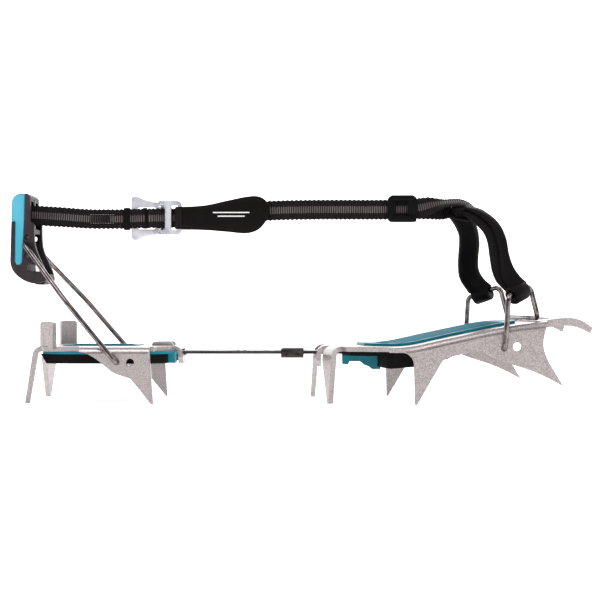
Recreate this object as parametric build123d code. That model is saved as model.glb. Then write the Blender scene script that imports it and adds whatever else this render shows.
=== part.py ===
from build123d import *
import os
from math import radians, tan

# Twelve-point crampon for a left boot, in millimetres, standing on its points.
# +X points to the toe, +Y to the wearer's left, +Z up. Everything is placed in a working
# frame first. At the end it all moves so that the origin is the bottom centre of the box.

# ---- driving dimensions -------------------------------------------------------------
SHEET = 3.0              # steel sheet of both frames
WIRE_R = 1.6             # radius of both wire bails
PIVOT_GAP = 0.07         # radial clearance of every moving fit
SLIDE_GAP = 0.2          # clearance on each side of what slides
SKEW = 0.16              # how far the outer side of the front frame lags, mm per mm of width
FLANGE_Y = 40.0          # middle of each front side flange
HEEL_FLANGE_Y = 38.0     # middle of each heel side flange
BEND_R = 4.2             # outer bend radius of the side flanges
PLATE_TOP = 34.5         # top of the flat part of both frames
WEB_WIDTH = 13.0         # webbing of the strap
STRAP_Z = 114.5          # middle of the rear webbing
FRONT_STRAP_Z = 119.8    # middle of the front webbing
FLOOR_CUT = 60.0         # any height well clear of the steel

NODES = {}


def keep(name, shape):
    """Store a finished shape under its node name."""
    NODES[name] = shape
    return shape


def prism_y(points, y_low, y_high):
    """Solid with an XZ outline, between two values of Y."""
    plane = Plane((0, y_low, 0), x_dir=(1, 0, 0), z_dir=(0, -1, 0))
    face = plane * make_face(Polyline(*points, close=True))
    return Solid.extrude(face.face(), Vector(0, y_high - y_low, 0))


def prism_z(points, z_low, z_high, rounding=0.0):
    """Solid with an XY outline, between two values of Z, with its corners rounded if asked."""
    face = make_face(Polyline(*points, close=True))
    if rounding:
        face = fillet(face.vertices(), rounding)
    face = Pos(0, 0, z_low) * face
    return Solid.extrude(face.face(), Vector(0, 0, z_high - z_low))


def block(x_low, x_high, y_low, y_high, z_low, z_high):
    """Box between two corners."""
    size = (x_high - x_low, y_high - y_low, z_high - z_low)
    middle = ((x_low + x_high) / 2, (y_low + y_high) / 2, (z_low + z_high) / 2)
    return Pos(*middle) * Box(*size)


def rod(start, end, radius):
    """Round rod between two points."""
    axis = Vector(*end) - Vector(*start)
    plane = Plane(origin=start, z_dir=axis)
    return Solid.make_cylinder(radius, axis.length, plane)


def cross_rod(x, z, half_length, radius):
    """Round rod along Y, centred on the XZ plane."""
    return rod((x, -half_length, z), (x, half_length, z), radius)


def wire_rod(points, radii, radius):
    """Bent wire: straight runs joined by arcs."""
    path = FilletPolyline(*points, radius=radii)
    section = Plane(origin=path @ 0, z_dir=path % 0) * Circle(radius)
    return sweep(section, path=path)


def mirrored(points):
    """Close a half outline, given from front to back at +Y, with its mirror image."""
    return points + [(x, -y) for x, y in reversed(points)]


def skewed(x_near, y):
    """X at a width y of a feature that is at x_near on the inner side flange."""
    return x_near - SKEW * (y + FLANGE_Y)


def skew_outline(points):
    return [(skewed(x, y), y) for x, y in points]


def bent_leg(width, tip_width, height, reach, bend, lean=0.0, shoulder=8.0, tip_shift=0.0):
    """Sheet strip that bends down from the frame. Local +X is its outer side, z = 0 its top."""
    shift = height * tan(radians(lean))
    section = make_face(Polyline(
        (-reach, 0), (0, 0), (shift, -height), (shift - SHEET, -height), (-SHEET, -SHEET), (-reach, -SHEET),
        close=True))
    outer = section.vertices().sort_by_distance((0, 0, 0))[0]
    section = fillet(outer, bend + SHEET)
    inner = section.vertices().sort_by_distance((-SHEET, -SHEET, 0))[0]
    section = fillet(inner, bend)
    half = width / 2
    face = Plane((0, -half, 0), x_dir=(1, 0, 0), z_dir=(0, -1, 0)) * section
    strip = Solid.extrude(face.face(), Vector(0, width, 0))
    tip = tip_width / 2
    front_view = [(-half, 1), (half, 1), (half, -shoulder), (tip_shift + tip, -height - 1),
                  (tip_shift - tip, -height - 1), (-half, -shoulder)]
    plane = Plane((-reach - 1, 0, 0), x_dir=(0, 1, 0), z_dir=(1, 0, 0))
    taper_face = plane * make_face(Polyline(*front_view, close=True))
    return strip & Solid.extrude(taper_face.face(), Vector(reach + shift + 9, 0, 0))


# ---- front frame ----------------------------------------------------------------------
# Profile of its top along the inner flange: flat, then rising to the toe and over it.
FRONT_RISE = [(60, 34.5), (82, 37.8), (104, 42.6), (124, 46.7), (136, 48.6), (148, 49.9), (159.5, 51.4),
              (167.5, 52.0)]
FRONT_BAIL_HOLE = (124.1, 33.6)
FRONT_SPARE_HOLE = (132.2, 34.7)
SPARE_HOLE_R = 2.6
HEEL_SPARE_R = 2.4
POINT_ZONE = 27.0        # below this height the side flanges are points only
LEG_TURN = 14.0          # how far both rear legs of the front frame face outwards, in degrees
LEG_TURN_SKEW = 12.0     # more on the inner side and less on the outer side
BAR_LOW = 29.3
BAR_HIGH = 31.2
BAR_HALF = 9.5


def front_ribbon(drop_top, drop_bottom, y_low, y_high, x_low=8.0):
    """Curved sheet under the front profile, between two depths and two widths."""
    top = [(x, z - drop_top) for x, z in FRONT_RISE]
    low = [(x, z - drop_bottom) for x, z in FRONT_RISE]
    start_top = (x_low, PLATE_TOP - drop_top)
    start_low = (x_low, PLATE_TOP - drop_bottom)
    edges = Line(start_top, top[0]) + Spline(*top, tangents=((1, 0), (1, 0)))
    edges += Line(top[-1], low[-1]) + Spline(*low, tangents=((1, 0), (1, 0)))
    edges += Line(low[0], start_low) + Line(start_low, start_top)
    offset_x = -SKEW * (y_low + FLANGE_Y)
    plane = Plane((offset_x, y_low, 0), x_dir=(1, 0, 0), z_dir=(0, -1, 0))
    face = plane * make_face(edges)
    width = y_high - y_low
    return Solid.extrude(face.face(), Vector(-SKEW * width, width, 0))


def front_flange_outline():
    """Side view of the inner flange: middle point, arch, bail hole land and leaning second point."""
    arch = Spline((87.8, 26.5), (98, 29.9), (108, 31.9), (116, 29.2),
                  tangents=((0.75, 0.66), (0.75, -0.66)))
    brow = Spline((116, 29.2), (127, 24.8), (141, 20.2), (159.3, 11.3),
                  tangents=((0.9, -0.43), (0.86, -0.5)))
    nose = Spline((159.3, 11.3), (151.6, 24.5), (147.8, 36), (149.0, 44), (153, 56),
                  tangents=((-0.45, 0.89), (0.45, 0.9)))
    back = Line((153, 56), (40, 56)) + Line((40, 56), (40, 31.0)) + Line((40, 31.0), (63.5, 31.0))
    heel_side = Spline((63.5, 31.0), (68.6, 28.6), (70.5, 23.5), tangents=((1, 0), (0, -1)))
    tip = Line((70.5, 23.5), (71.2, 0)) + Line((71.2, 0), (72.2, 0)) + Line((72.2, 0), (87.8, 26.5))
    return arch + brow + nose + back + heel_side + tip


def front_plan():
    """Half outline of the front frame from above, toe first, at +Y, up to where the legs bend down."""
    return [(147, 8), (152, 11), (160, 17), (161, 32), (156, 34.5), (153, 37), (152, FLANGE_Y + 1.5),
            (66, FLANGE_Y + 1.5), (56, 38.5), (44, 37), (31, 33.5), (27.5, 19), (25.5, 13)]


def make_front_plate():
    outer = FLANGE_Y + SHEET / 2
    inner = FLANGE_Y - SHEET / 2
    shell = front_ribbon(0, SHEET, -outer, outer)
    for y_low, y_high in ((-outer, -inner), (inner, outer)):
        shell += front_ribbon(0.5, 60, y_low, y_high)
    top_edges = [e for e in shell.edges() if abs(abs(e.center().Y) - outer) < 0.01 and e.center().Z > 30
                 and e.length > 40]
    shell = fillet(top_edges, BEND_R)
    flange = front_flange_outline()
    keep_zone = Solid.extrude((Plane((0, -outer - 2, 0), x_dir=(1, 0, 0), z_dir=(0, -1, 0))
                               * make_face(flange)).face(), Vector(0, 12, 0))
    far_shift = -SKEW * 2 * FLANGE_Y
    far_zone = Pos(far_shift, 2 * outer + 4 - 12, 0) * keep_zone
    middle = block(-20, 200, -inner + 3.4, inner - 3.4, 0, FLOOR_CUT)
    plate = shell & (keep_zone + far_zone + middle)
    plan_zone = prism_z(skew_outline(mirrored(front_plan())), POINT_ZONE, FLOOR_CUT, 1.4)
    return plate & (plan_zone + block(0, 200, -outer - 1, outer + 1, -1, POINT_ZONE))


def place_leg(leg, x, y, turn):
    """Put a bent leg with its outer side at (x, y), facing turn degrees from +X."""
    return Pos(x, y, PLATE_TOP) * Rot(0, 0, turn) * leg


def bail_axis(hole, y, skew=SKEW):
    """Point of a front bail axis at a width y."""
    return (hole[0] - skew * (y + FLANGE_Y), y, hole[1])


def front_point(side):
    """Forward point: flat blade, arched underneath, tip turned down."""
    y_mid = side * 24.3
    shift = -SKEW * (y_mid + FLANGE_Y)
    top = [(148, 49.9), (159.5, 51.4), (167.5, 52.0), (175, 50.6), (182.6, 45.9)]
    low = [(148, 45.4), (159, 46.8), (168, 47.0), (175, 45.6), (181.4, 42.4)]
    outline = Spline(*top, tangents=((1, 0.1), (0.8, -0.6))) + Line(top[-1], low[-1])
    outline += Spline(*low, tangents=((1, 0.1), (0.87, -0.5))) + Line(low[0], top[0])
    plane = Plane((shift, y_mid - 9, 0), x_dir=(1, 0, 0), z_dir=(0, -1, 0))
    blade = Solid.extrude((plane * make_face(outline)).face(), Vector(0, 18, 0))
    plan = [(145, side * 17), (152, side * 16), (168, side * 19.5), (184, side * 22.2), (184, side * 26.2),
            (170, side * 30), (156, side * 33), (145, side * 33)]
    blade = blade & prism_z(skew_outline(plan), 30, FLOOR_CUT, 1.6)
    gutter = Pos(shift, y_mid, 0) * rod((140, 0, 39.4), (173, 0, 43.4), 6.2)
    return blade - gutter


def make_front_frame():
    plate = make_front_plate()
    for side in (-1, 1):
        plate += front_point(side)
        leg = bent_leg(13, 2.4, PLATE_TOP, 9, 3.0, lean=4.5, shoulder=9, tip_shift=-side * 6.0)
        outward = LEG_TURN - side * LEG_TURN_SKEW
        plate += place_leg(leg, skewed(21.3, side * 26), side * 26.3, 180 - side * outward)
    bar_tab = bent_leg(25, 19, 12.8, 9, 3.0, shoulder=9)
    plate += place_leg(bar_tab, skewed(18.4, 0), 0, 180)
    plate -= block(0, 40, -BAR_HALF - 0.3, BAR_HALF + 0.3, BAR_LOW - SLIDE_GAP, BAR_HIGH + SLIDE_GAP)
    for x_low, x_high in ((54, 86), (98, 134)):
        window = [(x_low, 23), (x_low, -23), (x_high, -23), (x_high, 23)]
        cut = prism_z(skew_outline(window), 25, FLOOR_CUT)
        plate -= fillet(cut.edges().filter_by(Axis.Z), 6)
    for y_start, y_end in ((-60, -20), (20, 60)):
        bail_start = bail_axis(FRONT_BAIL_HOLE, y_start)
        bail_end = bail_axis(FRONT_BAIL_HOLE, y_end)
        plate -= rod(bail_start, bail_end, WIRE_R + PIVOT_GAP)
    for side in (-1, 1):
        hole = (skewed(FRONT_SPARE_HOLE[0], side * FLANGE_Y), 0, FRONT_SPARE_HOLE[1])
        plate -= rod((hole[0], side * 20, hole[2]), (hole[0], side * 60, hole[2]), SPARE_HOLE_R)
    return plate


front_plate = keep("front_plate", make_front_frame())


# ---- front anti-balling plate -----------------------------------------------------------
def make_antiball_frame():
    """Domed plastic plate that lies on the frame and plugs its two windows."""
    lid = front_ribbon(-1.7, -0.05, -29, 29, x_low=30)
    plan = [(46, 12), (50, 19), (58, 25), (72, 28), (128, 28), (136, 24), (139, 14)]
    lid = lid & prism_z(skew_outline(mirrored(plan[::-1])), 20, 70, 3.0)
    groove = front_ribbon(-3.4, -0.9, -24, 24, x_low=46)
    for low_x, high_x in ((56, 84), (88, 106), (110, 130)):
        dish = [(low_x, 20), (low_x, -20), (high_x, -20), (high_x, 20)]
        lid -= groove & prism_z(skew_outline(dish), 20, 70, 4.0)
    for x_low, x_high in ((54.6, 85.4), (98.6, 133.4)):
        window = [(x_low, 22.4), (x_low, -22.4), (x_high, -22.4), (x_high, 22.4)]
        plug = front_ribbon(-0.2, 2.95, -24, 24, x_low=46) & prism_z(skew_outline(window), 20, 70)
        lid += fillet(plug.edges().filter_by(Axis.Z), 5.6)
    return lid


def make_antiball_pad():
    """Soft block under the frame. It bulges most at its rear and has a channel for the bar."""
    depth = [(54, 31.2), (54, 21.6), (58, 21.2), (76, 22.8), (91, 27.0), (99, 30.6), (112, 35.4),
             (131, 43.3), (120, 42.0), (104, 39.0), (82, 34.3), (66, 31.2)]
    plane = Plane((SKEW * -4, -36, 0), x_dir=(1, 0, 0), z_dir=(0, -1, 0))
    side_face = plane * make_face(Polyline(*depth, close=True))
    block_shape = Solid.extrude(side_face.face(), Vector(-SKEW * 72, 72, 0))
    plan = [(52, 22), (56, 33), (62, 36.5), (120, 36.5), (129, 30), (132, 12)]
    block_shape = block_shape & prism_z(skew_outline(mirrored(plan[::-1])), 10, 60)
    block_shape -= block(20, 108, -BAR_HALF - 0.5, BAR_HALF + 0.5, BAR_LOW - SLIDE_GAP, 50)
    block_shape -= block(20, 54, -LATCH_HALF - 0.4, LATCH_HALF + 0.4, 15, 28.9)
    for side in (-1, 1):
        strip = [(33, side * 16), (34.5, side * 29.5), (44, side * 33.5), (58, side * 35), (58, side * 11),
                 (33, side * 11)]
        block_shape += prism_z(skew_outline(strip), 28.9, 31.3)
    tongue = block(45.0, 55.0, -TONGUE_HALF, TONGUE_HALF, 22.6, 28.6)
    return block_shape + tongue


LATCH_HALF = 14.0
LATCH_PIVOT = (48.6, 25.4)
LATCH_PIN_R = 1.5
LATCH_PIN_HALF = 11.0
TONGUE_HALF = 4.6        # the pin is held in a tongue of the soft block, between both cheeks of the latch
keep("front_antiball_frame", make_antiball_frame())
keep("front_antiball_pad", make_antiball_pad() - cross_rod(*LATCH_PIVOT, 15, LATCH_PIN_R + 0.02))

# ---- size latch -------------------------------------------------------------------------
TOOTH_X = 36.0
TOOTH_R = 2.1
SPRING_AT = (41.6, 25.6)
SPRING_R = 2.4
SPRING_HALF = 4.0
LATCH_SIDE = [(28.2, 28.6), (28.2, 23.2), (31.8, 23.0), (32.6, 24.9), (39.4, 24.9), (41.2, 23.0),
              (44.6, 21.6), (46.6, 20.0), (51.6, 20.0), (52.6, 28.0), (44, 28.6)]


def make_latch():
    """Rocker with two cheeks. The tooth and its spring sit between them."""
    body = prism_y(LATCH_SIDE, -LATCH_HALF, LATCH_HALF)
    body -= block(38.6, 60, -TONGUE_HALF - 0.4, TONGUE_HALF + 0.4, 10, 40)
    body -= cross_rod(*LATCH_PIVOT, LATCH_PIN_HALF + 0.4, LATCH_PIN_R + PIVOT_GAP)
    return body - rod((TOOTH_X, 0, 20), (TOOTH_X, 0, 40), TOOTH_R)


def make_spring():
    return cross_rod(*SPRING_AT, SPRING_HALF, SPRING_R) - cross_rod(*SPRING_AT, SPRING_HALF, SPRING_R - 0.9)


keep("latch_pin", cross_rod(*LATCH_PIVOT, LATCH_PIN_HALF, LATCH_PIN_R))
keep("size_latch", make_latch())
keep("latch_tooth", rod((TOOTH_X, 0, 25.4), (TOOTH_X, 0, 28.95), TOOTH_R))
keep("latch_spring", make_spring())

# ---- extension bar ----------------------------------------------------------------------
BAR_REAR = -92.0
BAR_FRONT = 62.0
HEEL_PIVOT_X = -84.0
bar = block(BAR_REAR, BAR_FRONT, -BAR_HALF, BAR_HALF, BAR_LOW, BAR_HIGH)
bar = fillet(bar.edges().filter_by(Axis.Z).sort_by(Axis.X)[-2:], 5)
HOLE_PITCH = 8.0
for index in range(6):
    hole_x = 36 - index * HOLE_PITCH - (0 if index < 2 else 16)
    bar -= rod((hole_x, 0, 20), (hole_x, 0, 40), 2.4)
for slot_x in (-37.5, -33.0):
    bar -= block(slot_x - 1.0, slot_x + 1.0, -6, 6, 20, 40)
for side in (-1, 1):
    ear = block(-90.5, -77.5, side * 8.0 - 1.4, side * 8.0 + 1.4, BAR_LOW, 36.8)
    bar += fillet(ear.edges().filter_by(Axis.Y).sort_by(Axis.Z)[-2:], 1.6)
keep("extension_bar", bar)

clip = block(-10, 4, -BAR_HALF - 2.0, BAR_HALF + 2.0, 26.9, 32.6)
clip -= block(-12, 6, -BAR_HALF - 0.05, BAR_HALF + 0.05, 28.2, BAR_HIGH + 0.05)
clip -= block(-12, 6, -BAR_HALF + 2.5, BAR_HALF - 2.5, 30, 40)
clip_edges = clip.edges().filter_by(Axis.X)
clip = fillet([e for e in clip_edges if abs(e.center().Y) > 11 and e.center().Z < 28], 1.2)
for hole_x in (-6.4, 0.4):
    clip -= rod((hole_x, -20, 29.2), (hole_x, -9.6, 29.2), 0.8)
keep("bar_clip", clip)

# ---- heel frame --------------------------------------------------------------------------
HEEL_BAIL_HOLE = (-108.1, 25.2)
HEEL_SPARE_HOLE = (-100.0, 25.1)
TAB_WIDTH = 11.2         # upright tabs that hold the heel of the boot
TAB_TOP = 49.6
TAB_TURN = 54.0
HEEL_REAR = -161.6       # outer side of the rear legs
HEEL_FRONT = -70.9       # outer side of the tab that guides the bar


def heel_flange_outline():
    """Side view of a heel flange: sweep down from the rim to a raked point."""
    top = PLATE_TOP + 6
    sweep_down = Spline((-131, 31.4), (-124.5, 29.6), (-117, 24.4), (-110.7, 19.3), (-99.7, 15.2),
                        tangents=((1, -0.05), (0.93, -0.36)))
    point = Line((-99.7, 15.2), (-87.2, 0)) + Line((-87.2, 0), (-86.3, 0)) + Line((-86.3, 0), (-88.4, 33))
    return sweep_down + point + Line((-88.4, 33), (-88.4, top)) + Line((-88.4, top), (-131, top)) + Line(
        (-131, top), (-131, 31.4))


def heel_plan():
    rim = HEEL_FLANGE_Y + SHEET / 2
    return [(HEEL_FRONT - 5.5, 13), (-79, 19), (-85, 30), (-88.4, rim), (-138, rim), (-147, 38.6),
            (-155.4, 32), (HEEL_REAR + 6, 14), (-153, 9)]


def make_heel_plate():
    outer = HEEL_FLANGE_Y + SHEET / 2
    inner = HEEL_FLANGE_Y - SHEET / 2
    shell = block(-170, -60, -outer, outer, PLATE_TOP - SHEET, PLATE_TOP)
    for side in (-1, 1):
        y_low, y_high = sorted((side * inner, side * outer))
        shell += block(-170, -60, y_low, y_high, -1, PLATE_TOP - 0.5)
    rims = [e for e in shell.edges().filter_by(Axis.X) if abs(abs(e.center().Y) - outer) < 0.01]
    shell = fillet([e for e in rims if e.center().Z > 30], BEND_R)
    plane = Plane((0, -outer - 2, 0), x_dir=(1, 0, 0), z_dir=(0, -1, 0))
    keep_zone = Solid.extrude((plane * make_face(heel_flange_outline())).face(), Vector(0, 9, 0))
    far_zone = Pos(0, 2 * outer + 4 - 9, 0) * keep_zone
    middle = block(-170, -60, -inner + 2.4, inner - 2.4, 0, FLOOR_CUT)
    plate = shell & (keep_zone + far_zone + middle)
    plan_zone = prism_z(mirrored(heel_plan()), POINT_ZONE, FLOOR_CUT, 1.6)
    plate = plate & (plan_zone + block(-170, -60, -outer - 1, outer + 1, -1, POINT_ZONE))
    for side in (-1, 1):
        leg = bent_leg(17, 2.6, PLATE_TOP, 9, 2.6, lean=8.4, shoulder=10, tip_shift=-side * 8.5)
        plate += place_leg(leg, HEEL_REAR, side * 22.6, 180 - side * 11)
        tab = block(-SHEET / 2, SHEET / 2, -TAB_WIDTH / 2, TAB_WIDTH / 2, PLATE_TOP - 1.5, TAB_TOP)
        tab = fillet(tab.edges().filter_by(Axis.X).filter_by(lambda e: e.center().Z > TAB_TOP - 1), 1.8)
        plate += Pos(-150.9, side * 31.9, 0) * Rot(0, 0, 180 - side * TAB_TURN) * tab
    bar_tab = bent_leg(26, 17, 11.0, 8, 3.0, shoulder=7)
    plate += place_leg(bar_tab, HEEL_FRONT, 0, 0)
    plate -= block(-80, -60, -BAR_HALF - 0.5, BAR_HALF + 0.5, BAR_LOW - 0.9, BAR_HIGH + 0.9)
    window = block(-146, -98, -20, 20, 20, FLOOR_CUT)
    plate -= fillet(window.edges().filter_by(Axis.Z), 7)
    for side in (-1, 1):
        y_low, y_high = sorted((side * 6.0, side * 10.0))
        plate -= block(-91.6, -76.4, y_low, y_high, 31, 40)
    for x, z, r in ((*HEEL_BAIL_HOLE, WIRE_R + PIVOT_GAP), (*HEEL_SPARE_HOLE, HEEL_SPARE_R)):
        plate -= rod((x, -60, z), (x, -20, z), r)
        plate -= rod((x, 20, z), (x, 60, z), r)
    return plate


keep("heel_plate", make_heel_plate())

# ---- heel anti-balling plate ---------------------------------------------------------------
BAR_ROOM = BAR_HALF + 1.0


def make_heel_antiball():
    """Plastic tray with a lid in the window, and the soft block under it."""
    plan = [(-74.6, 22), (-79, 28), (-88, 35), (-136, 35), (-147, 33), (-154.6, 29), (-155.0, 12.6),
            (-156, 5)]
    tray = prism_z(mirrored(plan), 29.9, 31.45, 1.2)
    lid = fillet(block(-145.4, -98.6, -19.4, 19.4, 31.4, PLATE_TOP + 0.5).edges().filter_by(Axis.Z), 6.5)
    dish = block(-142, -102, -16, 16, PLATE_TOP - 0.9, PLATE_TOP + 2)
    frame = tray + (lid - fillet(dish.edges().filter_by(Axis.Z), 4))
    frame -= block(-96, -60, -BAR_ROOM, BAR_ROOM, 20, 40)
    frame -= block(-78.5, -60, -13.5, 13.5, 20, 40)
    for side in (-1, 1):
        y_low, y_high = sorted((side * 13.5, side * 24))
        frame += block(-79, -74.6, y_low, y_high, 24.2, 30.5)
    soft = [(-79.2, 28), (-88, 34.6), (-136, 34.6), (-147, 32.6), (-156.4, 28), (-156.4, 10), (-155, 5)]
    pad = prism_z(mirrored(soft), 24.2, 29.85)
    pad -= block(-96, -60, -BAR_ROOM - 1, BAR_ROOM + 1, 27.9, 40)
    wedge = prism_y([(-162, 20), (-162, 31), (-157.0, 31), (-149.5, 20)], -40, 40)
    return frame, pad - wedge


heel_frame_plastic, heel_pad = make_heel_antiball()
keep("heel_antiball_frame", heel_frame_plastic)
keep("heel_antiball_pad", heel_pad)

# ---- heel bail -------------------------------------------------------------------------------
LEVER_PIVOT = (-169.2, 97.0)
HEEL_POST_Y = HEEL_FLANGE_Y + SHEET / 2 + WIRE_R + 1.7
KNEE = (-139.2, 62.0)
KNEE_Y = 38.3            # the bail narrows from the frame to the lever, clear of the tabs
LEVER_HALF = 13.0
heel_half = [(HEEL_BAIL_HOLE[0], HEEL_FLANGE_Y - 2.2, HEEL_BAIL_HOLE[1]),
             (HEEL_BAIL_HOLE[0], HEEL_POST_Y, HEEL_BAIL_HOLE[1]),
             (KNEE[0], KNEE_Y, KNEE[1]),
             (LEVER_PIVOT[0], LEVER_HALF + 2.6, LEVER_PIVOT[1])]
heel_route = heel_half + [(x, -y, z) for x, y, z in reversed(heel_half)]
keep("heel_bail", wire_rod(heel_route, [2.6, 30, 2.4, 2.4, 30, 2.6], WIRE_R))

# ---- heel lever ----------------------------------------------------------------------------
COVER_GAP = 0.06
LEVER_WALL = 3.0


def lever_outline():
    back = Line((-177.6, 123.4), (-178.6, 88))
    bottom_points = [(-178.6, 88), (-174.8, 78.6), (-165.3, 73.4), (-156, 75.2)]
    bottom = Spline(bottom_points, tangents=((0, -1), (0.9, 0.42)))
    front = Spline((-156, 75.2), (-157.6, 83), (-161.6, 92), (-163.8, 110.5), tangents=((0.1, 1), (0, 1)))
    top = Polyline((-163.8, 110.5), (-166.2, 112), (-166.2, 127.4), (-168, 129.2), (-171.8, 129.2))
    corner = ThreePointArc((-171.8, 129.2), (-175.9, 127.5), (-177.6, 123.4))
    return back + bottom + front + top + corner


def cover_outline(grow):
    """Block at the top and a tongue below it, seen from the side."""
    g = grow
    return [(-180 - g, 131), (-180 - g, 111.8 - g), (-175.5 - g, 111.8 - g), (-175.7 - g, 86.6 - g),
            (-174.6, 84.7 - g), (-172.4, 84.7 - g), (-171.2 + g, 86.6 - g), (-169.9 + g, 112),
            (-169.4 + g, 131)]


def make_lever():
    whole_face = Plane((0, -LEVER_HALF, 0), x_dir=(1, 0, 0), z_dir=(0, -1, 0)) * make_face(lever_outline())
    whole = Solid.extrude(whole_face.face(), Vector(0, 2 * LEVER_HALF, 0))
    inner = LEVER_HALF - LEVER_WALL
    spine = block(-172.0, -160, -inner, inner, 60, 140)
    cover_zone = prism_y(cover_outline(COVER_GAP), -20, 20) - spine
    room_outline = [(-169.4, 124.5), (-169.4, 88), (-166.8, 82.5), (-163, 79.2), (-150, 79.2), (-150, 124.5)]
    room = prism_y(room_outline, -inner, inner)
    body = whole - cover_zone - room
    window = [(-168.3, 86.0), (-168.0, 80.8), (-160.2, 80.8), (-163.4, 86.0)]
    body -= prism_y(window, -20, 20)
    body += block(-169.6, -164.6, -inner, inner, 104.6, 107.4)
    body -= cross_rod(*LEVER_PIVOT, 20, WIRE_R + PIVOT_GAP)
    for hole_z in (90.4, 102):
        body -= cross_rod(-168.2, hole_z, 20, 1.6)
    lug = prism_y([(-166.5, 74.4), (-163.5, 72.6), (-158.5, 72.8), (-156.5, 76)], -8, 8)
    body += lug
    grown_spine = block(-172.0 - COVER_GAP, -160, -inner - COVER_GAP, inner + COVER_GAP, 60, 140)
    cover = (whole & prism_y(cover_outline(-COVER_GAP), -20, 20)) - grown_spine
    cover -= cross_rod(*LEVER_PIVOT, 20, WIRE_R + PIVOT_GAP + 0.1)
    return body, cover


lever_body, lever_cover = make_lever()
STRAP_PIN_X = -166.9
lever_body -= rod((STRAP_PIN_X, 0, 103), (STRAP_PIN_X, 0, 126.5), 1.22)
keep("lever_body", lever_body)
keep("lever_cover", lever_cover)
keep("strap_pin", rod((STRAP_PIN_X, 0, 105.2), (STRAP_PIN_X, 0, 126), 1.2))

# ---- rear strap ------------------------------------------------------------------------------
LOOP_INNER = 1.25
LOOP_OUTER = 2.3
STITCH_END = -131.0


def upright_band(x_low, x_high, y_low, y_high, z_mid, width=WEB_WIDTH):
    return block(x_low, x_high, y_low, y_high, z_mid - width / 2, z_mid + width / 2)


loop = upright_band(STRAP_PIN_X, STITCH_END, -LOOP_OUTER, LOOP_OUTER, STRAP_Z + 1.2)
loop += rod((STRAP_PIN_X, 0, STRAP_Z + 1.2 - 6.5), (STRAP_PIN_X, 0, STRAP_Z + 1.2 + 6.5), LOOP_OUTER)
loop -= rod((STRAP_PIN_X, 0, 100), (STRAP_PIN_X, 0, 130), LOOP_INNER)
keep("rear_strap_loop", loop)
keep("rear_webbing", upright_band(STITCH_END, -36, -0.9, 0.9, STRAP_Z))
keeper = upright_band(-109.5, -106.0, -2.6, 2.6, STRAP_Z, WEB_WIDTH + 3) - upright_band(
    -112, -100, -1.1, 1.1, STRAP_Z, WEB_WIDTH + 0.6)
keep("strap_keeper", keeper)

# ---- buckle ------------------------------------------------------------------------------------
# The webbing runs in front of the wing and then behind the bar of the frame.
BUCKLE_Z = STRAP_Z + 0.2
WING_BACK = 3.9          # the wing lies between these two depths, behind the webbing
WING_FRONT = 1.3
WING_PIN = (-85.4, 2.6, 1.2)
RAIL_LOW = 7.6           # rails stand this far above and below the middle of the webbing
RAIL_HIGH = 10.6


def wing_pin(reach, radius):
    """Upright rod on the hinge line of the wing."""
    x, y = WING_PIN[:2]
    return rod((x, y, BUCKLE_Z - reach), (x, y, BUCKLE_Z + reach), radius)


def make_wing():
    outline = [(-105, 12.6), (-103.6, 14.1), (-101.5, 14.0), (-97, 12.0), (-92, 10.8), (-87.8, 10.3)]
    knuckle = RAIL_LOW - 0.5
    half = outline + [(outline[-1][0], knuckle), (-83.9, knuckle)]
    face = [(x, BUCKLE_Z + h) for x, h in half] + [(x, BUCKLE_Z - h) for x, h in reversed(half)]
    wing = prism_y(face, WING_FRONT, WING_BACK)
    window = block(-101.4, -89.6, -10, 10, BUCKLE_Z - 7.0, BUCKLE_Z + 7.0)
    wing -= fillet(window.edges().filter_by(Axis.Y), 1.5)
    front_edges = [e for e in wing.edges() if e.center().Y < WING_FRONT + 0.01]
    wing = fillet([e for e in front_edges if abs(e.center().Z - BUCKLE_Z) > 9], 0.7)
    return wing - wing_pin(60, WING_PIN[2] + PIVOT_GAP)


def make_buckle_frame():
    frame = block(-83.2, -72.6, -4.1, -1.4, BUCKLE_Z - RAIL_HIGH, BUCKLE_Z + RAIL_HIGH)
    right_edges = [e for e in frame.edges().filter_by(Axis.Y) if e.center().X > -75]
    frame = fillet(right_edges, 3.2)
    frame -= block(-79.2, -75.0, -10, 10, BUCKLE_Z - RAIL_LOW, BUCKLE_Z + RAIL_LOW)
    for side in (-1, 1):
        z_low, z_high = sorted((BUCKLE_Z + side * RAIL_LOW, BUCKLE_Z + side * RAIL_HIGH))
        frame += block(-87.0, -81.6, -4.1, 3.9, z_low, z_high)
    return frame + wing_pin((RAIL_LOW + RAIL_HIGH) / 2, WING_PIN[2])


keep("buckle_wing", make_wing())
keep("buckle_frame", make_buckle_frame())

# ---- pad, front webbing, slider -----------------------------------------------------------------


def pad_outline():
    top = Spline((-72.2, 121.6), (-58, 122.6), (-40, 126.4), (-24, 128.6), (-17.6, 119),
                 tangents=((1, 0), (0, -1)))
    low = Spline((-17.6, 119), (-31, 104.8), (-50, 106.6), (-72.2, 107.2), tangents=((0, -1), (-1, 0)))
    return top + low + Line((-72.2, 107.2), (-72.2, 121.6))


pad_face = Plane((0, -3.4, 0), x_dir=(1, 0, 0), z_dir=(0, -1, 0)) * make_face(pad_outline())
keep("strap_pad", Solid.extrude(pad_face.face(), Vector(0, 2.3, 0)))

FRONT_WEB_END = 95.6
keep("front_webbing", block(-50, FRONT_WEB_END, 1.1, 3.5, FRONT_STRAP_Z - 6.4, FRONT_STRAP_Z + 6.4))

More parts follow.
